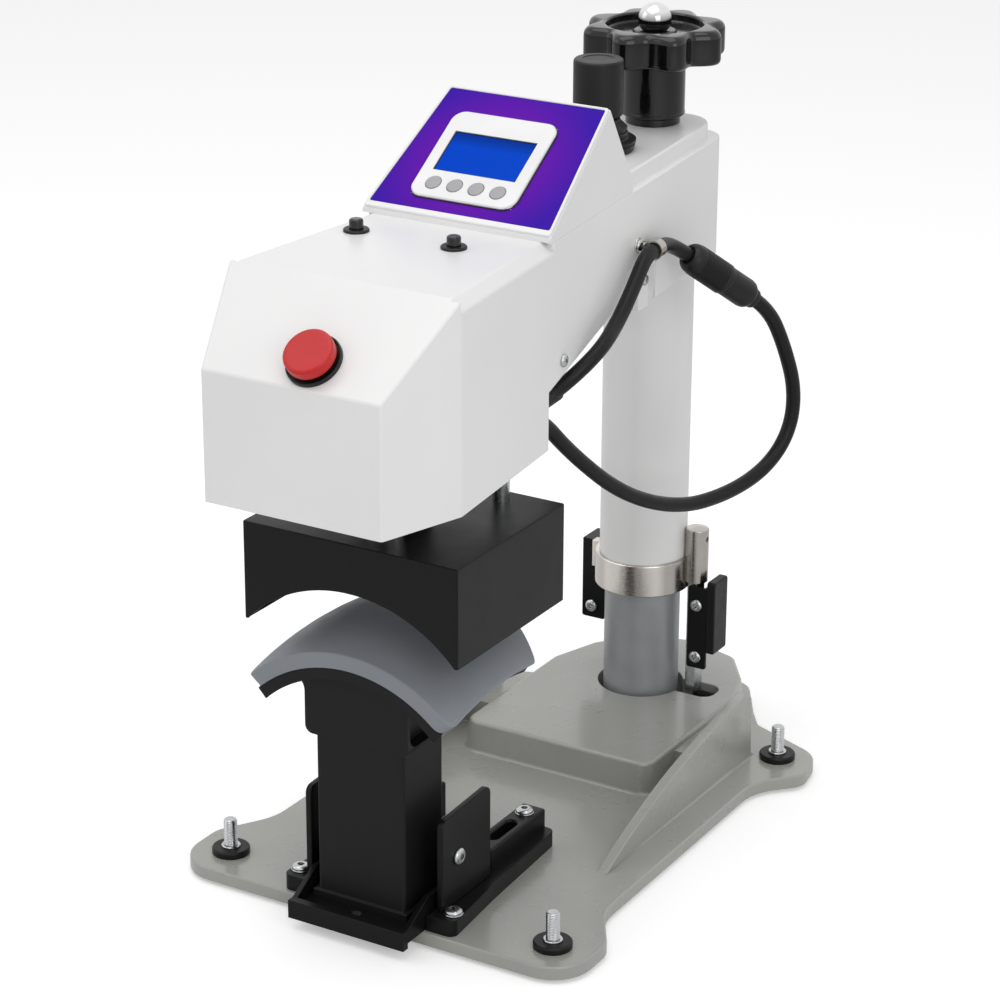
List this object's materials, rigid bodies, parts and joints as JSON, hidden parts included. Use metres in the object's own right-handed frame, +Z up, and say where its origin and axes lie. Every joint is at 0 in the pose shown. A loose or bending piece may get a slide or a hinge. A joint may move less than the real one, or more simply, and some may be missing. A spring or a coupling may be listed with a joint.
{
  "type": "cap heat press",
  "caption": "Column cap heat press: a white head with a curved heated platen is pressed down onto a crowned silicone pad on a sliding post, over a grey cast base.",
  "frame": {"origin": "axis of the upright column, on the surface the rubber feet stand on", "axes": "+Z up, the operator stands on the -Y side, +X to the operator's right"},
  "size_m": [0.3318, 0.5886, 0.586],
  "materials": {
    "white_enamel": "satin powder coat",
    "black_enamel": "satin powder coat",
    "grey_enamel": "painted casting",
    "black_anodised": "satin black",
    "drive_aluminium": "satin",
    "bare_aluminium": "satin",
    "column_steel": "ground",
    "zinc_steel": "plated",
    "nickel": "satin nickel",
    "chrome": "polished",
    "bronze": "machined",
    "black_rubber": "matt",
    "grey_silicone": "matt",
    "black_plastic": "matt",
    "gloss_black": "gloss",
    "red_plastic": "gloss",
    "silver_plastic": "satin",
    "grey_key": "satin",
    "blue_display": "gloss",
    "purple_panel": "satin film",
    "green_board": "solder mask",
    "mica": "plain"
  },
  "bodies": {
    "base": {"base_casting": "grey_enamel", "foot_rubbers": "black_rubber", "foot_studs": "zinc_steel", "column_tube": "column_steel", "lift_drive": "drive_aluminium", "rails": "black_enamel", "guide_plates": "black_enamel", "rail_screws": "zinc_steel"},
    "sled": {"sled_tray": "black_enamel", "platen_post": "black_anodised", "post_screws": "zinc_steel", "platen_cradle": "black_anodised", "silicone_pad": "grey_silicone"},
    "head": {"head_shell": "white_enamel", "floor_panel": "white_enamel", "platen_hangers": "zinc_steel", "arm_cap": "white_enamel", "console_housing": "white_enamel", "face_plate": "purple_panel", "controller_bezel": "silver_plastic", "display_window": "blue_display", "controller_board": "green_board", "stop_body": "black_plastic", "start_bodies": "black_plastic", "outer_sleeve": "white_enamel", "slide_bushes": "bronze", "knob_hub": "black_plastic", "regulator_body": "black_plastic", "clamp_ring": "nickel", "guide_rod": "zinc_steel", "stop_angle": "black_enamel", "stop_pad": "black_rubber", "switch_bracket": "black_enamel", "position_switch": "black_plastic", "head_screws": "zinc_steel", "power_inlet": "black_plastic", "power_parts": "green_board", "terminal_box": "black_plastic", "lead_gland": "black_plastic", "heater_lead": "black_rubber", "lead_plug": "black_plastic", "lead_socket": "black_plastic", "lead_clip": "nickel", "saddle_block": "white_enamel", "platen_cover": "black_enamel", "heat_plate": "bare_aluminium", "heater_pack": "mica"},
    "pressure_knob": {"star_knob": "gloss_black", "knob_ball": "chrome", "lead_screw": "zinc_steel"},
    "pressure_nut": {"pressure_nut": "bronze"},
    "drive_rod": {"drive_rod": "zinc_steel"},
    "regulator_knob": {"regulator_knob": "black_plastic"},
    "stop_cap": {"stop_cap": "red_plastic"},
    "start_cap_left": {"start_cap_left": "gloss_black"},
    "start_cap_right": {"start_cap_right": "gloss_black"},
    "key_1": {"key_1": "grey_key"},
    "key_2": {"key_2": "grey_key"},
    "key_3": {"key_3": "grey_key"},
    "key_4": {"key_4": "grey_key"}
  },
  "joints": [
    {"name": "head_stroke", "type": "slide", "parent": "base", "child": "head", "axis": [0, 0, -1], "range_m": [0, 0.032], "stiffness_N_per_m": 2500, "springref_m": -0.12},
    {"name": "sled_slide", "type": "slide", "parent": "base", "child": "sled", "axis": [0, -1, 0], "range_m": [0, 0.06]},
    {"name": "knob_turn", "type": "hinge", "parent": "head", "child": "pressure_knob", "pos_m": [0, 0, 0.55], "axis": [0, 0, 1], "range_deg": [-890, 890]},
    {"name": "nut_slide", "type": "slide", "parent": "head", "child": "pressure_nut", "axis": [0, 0, -1], "range_m": [-0.005, 0.005]},
    {"name": "rod_slide", "type": "slide", "parent": "base", "child": "drive_rod", "axis": [0, 0, -1], "range_m": [0, 0.032]},
    {"name": "regulator_turn", "type": "hinge", "parent": "head", "child": "regulator_knob", "pos_m": [0.004, -0.092, 0.54], "axis": [0, 0, 1], "range_deg": [-135, 135]},
    {"name": "stop_press", "type": "slide", "parent": "head", "child": "stop_cap", "axis": [0, 0.6488, -0.7609], "range_m": [0, 0.004], "stiffness_N_per_m": 500, "springref_m": -0.006},
    {"name": "start_press_left", "type": "slide", "parent": "head", "child": "start_cap_left", "axis": [0, 0, -1], "range_m": [0, 0.0025], "stiffness_N_per_m": 400, "springref_m": -0.004},
    {"name": "start_press_right", "type": "slide", "parent": "head", "child": "start_cap_right", "axis": [0, 0, -1], "range_m": [0, 0.0025], "stiffness_N_per_m": 400, "springref_m": -0.004},
    {"name": "key_press_1", "type": "slide", "parent": "head", "child": "key_1", "axis": [0, 0.5505, -0.8348], "range_m": [0, 0.0008], "stiffness_N_per_m": 500, "springref_m": -0.002},
    {"name": "key_press_2", "type": "slide", "parent": "head", "child": "key_2", "axis": [0, 0.5505, -0.8348], "range_m": [0, 0.0008], "stiffness_N_per_m": 500, "springref_m": -0.002},
    {"name": "key_press_3", "type": "slide", "parent": "head", "child": "key_3", "axis": [0, 0.5505, -0.8348], "range_m": [0, 0.0008], "stiffness_N_per_m": 500, "springref_m": -0.002},
    {"name": "key_press_4", "type": "slide", "parent": "head", "child": "key_4", "axis": [0, 0.5505, -0.8348], "range_m": [0, 0.0008], "stiffness_N_per_m": 500, "springref_m": -0.002}
  ],
  "couplings": [
    {"joint": "nut_slide", "follows": "knob_turn", "m_per_rad": 0.00031831},
    {"joint": "rod_slide", "follows": "head_stroke", "ratio": 1}
  ]
}
